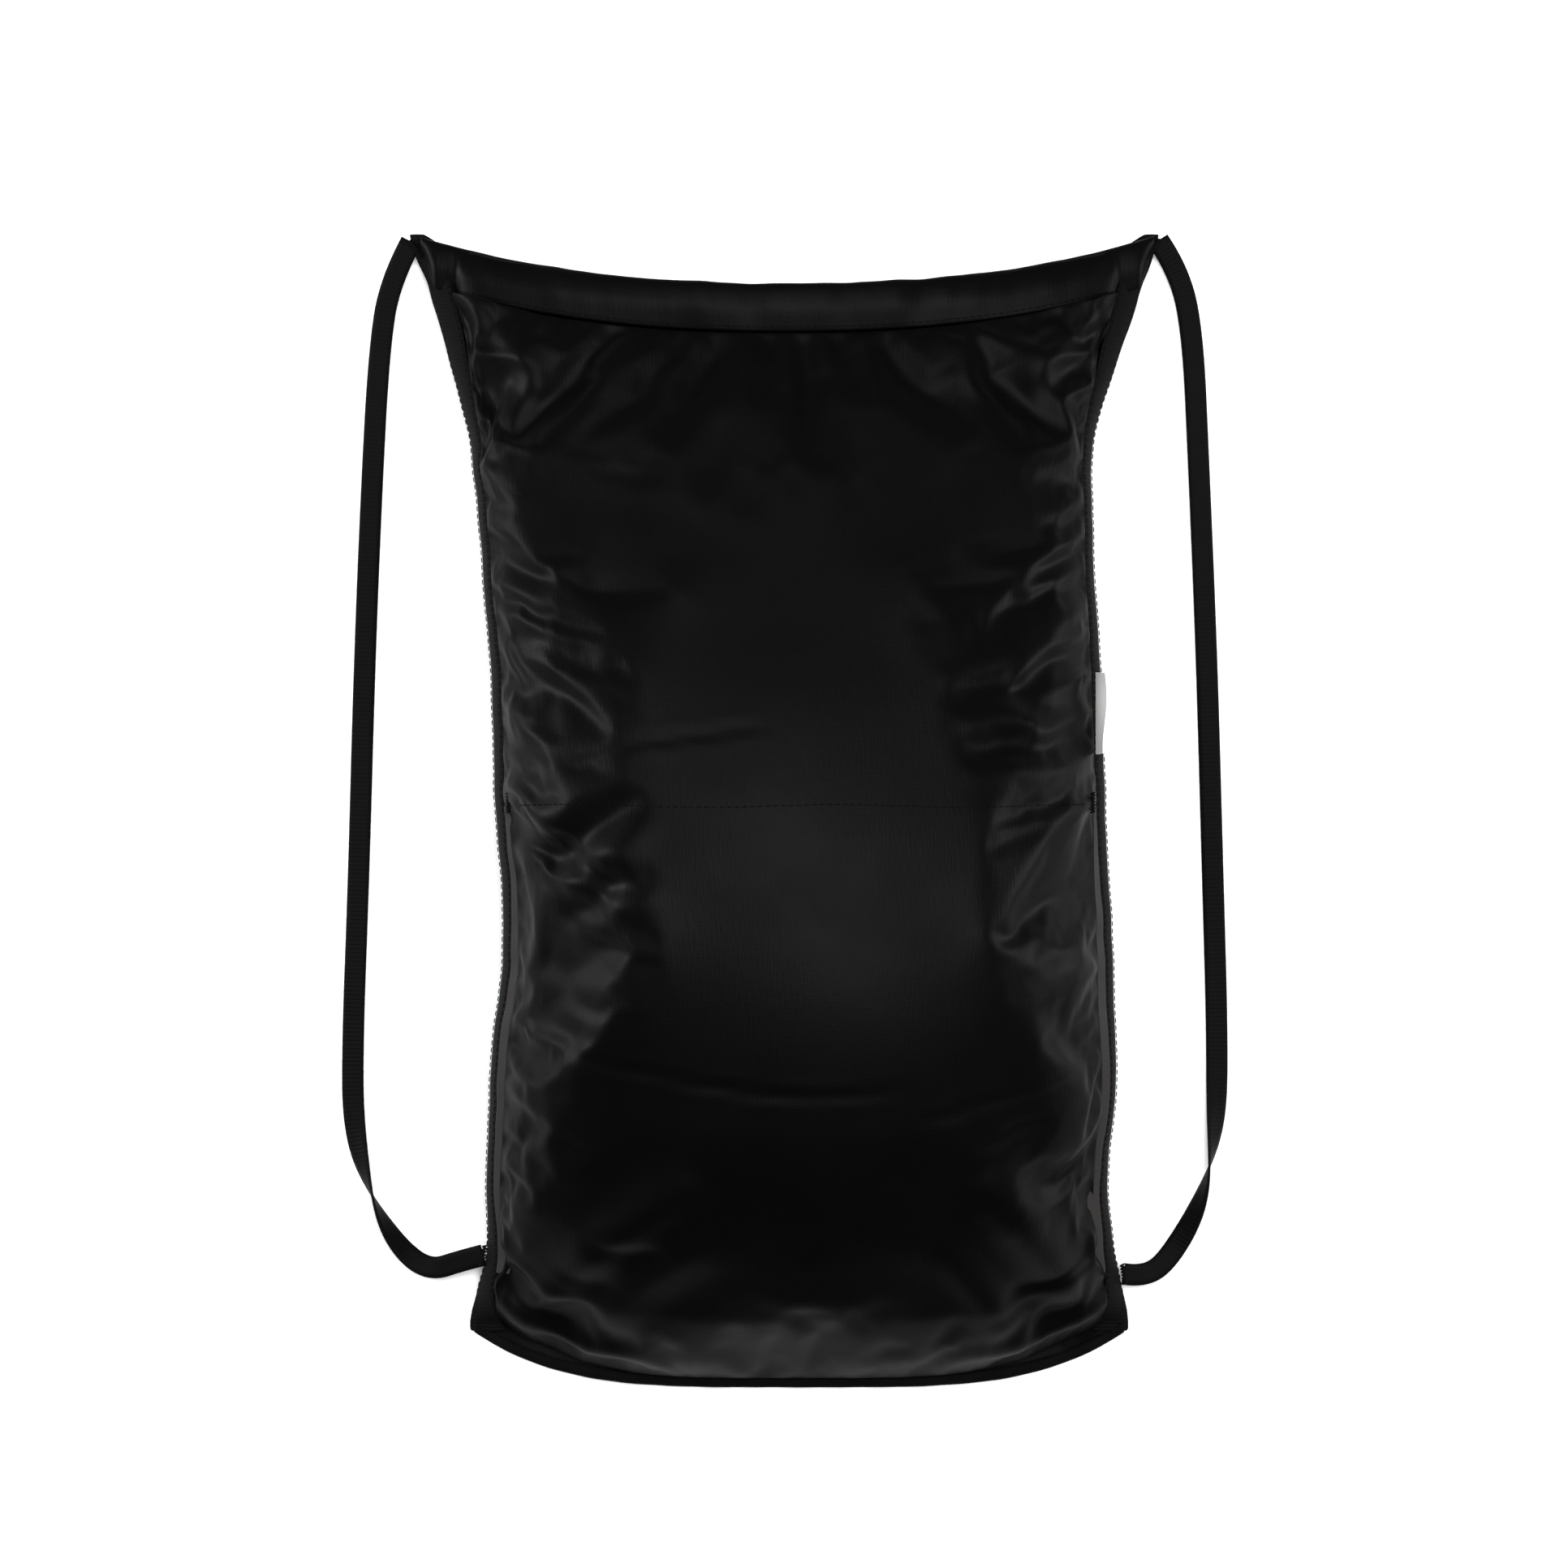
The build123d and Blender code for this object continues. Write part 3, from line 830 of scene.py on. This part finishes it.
def stitch_run(name, line, body, normal_at):
    """A row of stitches along a line, each standing a little out of the cloth."""
    shape = bmesh.new()
    gone = 0.0
    due = STITCH_PITCH
    for here, ahead in zip(line, line[1:]):
        step = ahead - here
        while gone + step.length > due and step.length > 0:
            centre = here + step * ((due - gone) / step.length)
            along = step.normalized()
            out = normal_at(centre)
            across = along.cross(out).normalized()
            rings = []
            for t, size, rise in STITCH_RINGS:
                middle = centre + along * t * STITCH_LENGTH + out * rise * THREAD_RADIUS
                ring = []
                for j in range(THREAD_SIDES):
                    angle = 2 * math.pi * j / THREAD_SIDES
                    spread = across * math.cos(angle) + out * math.sin(angle)
                    ring.append(shape.verts.new(middle + spread * THREAD_RADIUS * size))
                rings.append(ring)
            skin_loop(shape, rings)
            due += STITCH_PITCH
        gone += step.length
    bmesh.ops.recalc_face_normals(shape, faces=shape.faces)
    data = bpy.data.meshes.new(name)
    shape.to_mesh(data)
    shape.free()
    piece = bpy.data.objects.new(name, data)
    bpy.context.collection.objects.link(piece)
    piece.data.materials.append(thread_paint)
    if body:
        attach(piece, body)
    return piece


def tape_line(side, u):
    """Points along a side tape, a fixed share of the way across it."""
    lift = Vector((side * 0.0003, 0, 0.0004))
    return [tape_place(side, u, v / 300) + lift for v in range(4, 297)]


for side_name, side in (("left", -1), ("right", 1)):
    outwards = Vector((side * 0.8, 0, 0.6)).normalized()
    front_row = stitch_run(f"{side_name}_front_seam_stitches", tape_line(side, 0.12), None,
                           lambda p, n=outwards: n)
    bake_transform(front_row)
    stitch_run(f"{side_name}_back_seam_stitches", tape_line(side, 0.88), "sack", lambda p, n=outwards: n)

bpy.context.view_layer.update()
depsgraph = bpy.context.evaluated_depsgraph_get()


def on_front(x, y):
    """The place on the settled front cloth straight under a point, with its normal."""
    hit, place, normal, _ = front.evaluated_get(depsgraph).ray_cast(Vector((x, y, 0.3)), Vector((0, 0, -1)))
    return (place, normal) if hit else (None, None)


pocket_line = []
for i in range(281):
    place, normal = on_front(-0.1215 + 0.2555 * i / 280, POCKET_TOP + 0.0006 * math.sin(i * 0.05))
    if place is not None:
        pocket_line.append(place + normal * 0.0002)
stitch_run("pocket_top_stitches", pocket_line, "sack", lambda p: on_front(p.x, p.y)[1] or Vector((0, 0, 1)))

hem_line = []
for i in range(321):
    across = -0.9 + 1.8 * i / 320
    low = casing_place(True, across, math.pi * 0.80)
    hem_line.append(low + Vector((0, -0.0002, 0.0003)))
stitch_run("front_casing_stitches", hem_line, "mouth_front", lambda p: Vector((0, -0.25, 0.97)))

# ------------------------------------------------------------------------------
# Bartacks. Dense bars of thread lock the webbing at the mouth's corners and in the lower
# side seams, and close the top of each pocket opening. A bar is thirteen tight loops.
# ------------------------------------------------------------------------------
TACK_LENGTH = 0.0085
TACK_WIDTH = 0.0026
TACK_LOOPS = 13
TACK_THREAD = 0.00048
TACK_RINGS = [(-0.5, 0.4, -0.7), (-0.32, 1, 0.5), (0, 1, 0.8), (0.32, 1, 0.5), (0.5, 0.4, -0.7)]
CORNER_INSET = 0.004
CORNER_LEAN = math.radians(60)


def bartack(name, centres, nodes):
    """Bars of parallel thread loops, each at a centre and turned about the upright."""
    shape = bmesh.new()
    for (x, y, z), turn in centres:
        spin = Matrix.Rotation(turn, 3, "Z")
        for i in range(TACK_LOOPS):
            shift = (i / (TACK_LOOPS - 1) - 0.5) * TACK_LENGTH
            slant = 0.0002 * (1 if i % 2 else -1)
            rings = []
            for t, size, rise in TACK_RINGS:
                middle = Vector((shift + slant * t * 4, t * TACK_WIDTH, 0.0003 + rise * 0.0005))
                radius = TACK_THREAD * size
                ring = []
                for j in range(THREAD_SIDES):
                    angle = 2 * math.pi * j / THREAD_SIDES
                    point = middle + Vector((math.cos(angle) * radius, 0, math.sin(angle) * radius))
                    ring.append(shape.verts.new(spin @ point + Vector((x, y, z))))
                rings.append(ring)
            skin_loop(shape, rings)
    bmesh.ops.recalc_face_normals(shape, faces=shape.faces)
    data = bpy.data.meshes.new(name)
    shape.to_mesh(data)
    shape.free()
    piece = bpy.data.objects.new(name, data)
    bpy.context.collection.objects.link(piece)
    piece.data.materials.append(thread_paint)
    for face in piece.data.polygons:
        face.use_smooth = True
    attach(piece, "sack")
    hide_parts(*nodes)
    return piece


def node_centre(node, raise_by=0.0):
    """The middle of a frame node's box, raised a little."""
    low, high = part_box(node)
    return ((low[0] + high[0]) / 2, (low[1] + high[1]) / 2, (low[2] + high[2]) / 2 + raise_by)


for side_name, side in (("left", -1), ("right", 1)):
    x, y, z = node_centre(side_name + "_corner_tack", 0.0014)
    inset = (x - side * CORNER_INSET * 0.5, y - CORNER_INSET * 0.87, z)
    bartack(side_name + "_corner_bartack", [(inset, side * CORNER_LEAN)], [side_name + "_corner_tack"])
for side_name, side in (("left", -1), ("right", 1)):
    strap_end = node_centre(side_name + "_strap_tack", 0.001)
    turn = math.radians(90 + 10 * side)
    bartack(side_name + "_strap_bartack", [(strap_end, turn)], [side_name + "_strap_tack"])
pocket_low, pocket_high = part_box("pocket_tacks")
pocket_y = (pocket_low[1] + pocket_high[1]) / 2
pocket_bars = []
for x in (pocket_low[0] + 0.003, pocket_high[0] - 0.003):
    place, normal = on_front(x, pocket_y)
    if place is not None:
        pocket_bars.append((tuple(place), math.radians(90)))
bartack("pocket_bartacks", pocket_bars, ["pocket_tacks"])

# ------------------------------------------------------------------------------
# Side label. A blank white woven tab, folded double and caught in the right seam by its
# raw ends, so that its folded edge stands out from the side and can be flicked over.
# ------------------------------------------------------------------------------
label_low, label_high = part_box("label")
LABEL_LENGTH = label_high[1] - label_low[1]
label_lean = label_high[0] - label_low[0] - 0.0008
label_height = label_high[2] - label_low[2]
bpy.ops.object.select_all(action="DESELECT")
bpy.ops.mesh.primitive_cube_add(size=1)
label = bpy.context.object
label.name = "side_label_tab"
label.data.uv_layers[0].name = "weave"
bpy.ops.object.mode_set(mode="EDIT")
bpy.ops.mesh.select_all(action="SELECT")
bpy.ops.mesh.subdivide(number_cuts=12)
bpy.ops.object.mode_set(mode="OBJECT")
for vertex in label.data.vertices:
    across, along, up = vertex.co
    t = up + 0.5
    ply = 0.00045 if abs(across) > 0.2 else 0.00005
    swell = 1 + 0.3 * math.sin(math.pi * t)
    thickness = math.copysign(ply if abs(across) > 0.01 else 0.0, across) * swell
    curl = 0.0009 * t * t * math.sin(along * 5.0 + 0.6)
    x = label_low[0] + 0.0004 + label_lean * t ** 1.25 + thickness + curl
    y = (label_low[1] + label_high[1]) / 2 + along * LABEL_LENGTH * (1 - 0.02 * t)
    z = label_low[2] + label_height * t
    vertex.co = (x, y, z)
edge = label.modifiers.new("edge", "BEVEL")
edge.width = 0.0002
edge.segments = 2
edge.limit_method = "ANGLE"
bpy.ops.object.modifier_apply(modifier="edge")
bpy.ops.object.shade_smooth_by_angle(angle=math.radians(50))
label_paint, label_shader = cloth_paint("white_label_weave", (0.86, 0.86, 0.84), 0.5, 0.2)
label_place = label_paint.node_tree.nodes.new("ShaderNodeTexCoord")
label_weave = label_paint.node_tree.nodes.new("ShaderNodeTexWave")
label_weave.bands_direction = "Y"
label_weave.inputs["Scale"].default_value = 420
label_bump = label_paint.node_tree.nodes.new("ShaderNodeBump")
label_bump.inputs["Strength"].default_value = 0.4
label_bump.inputs["Distance"].default_value = 0.0001
label_paint.node_tree.links.new(label_place.outputs["Object"], label_weave.inputs["Vector"])
label_paint.node_tree.links.new(label_weave.outputs["Fac"], label_bump.inputs["Height"])
label_paint.node_tree.links.new(label_bump.outputs["Normal"], label_shader.inputs["Normal"])
label.data.materials.append(label_paint)
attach(label, "side_label")
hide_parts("label")
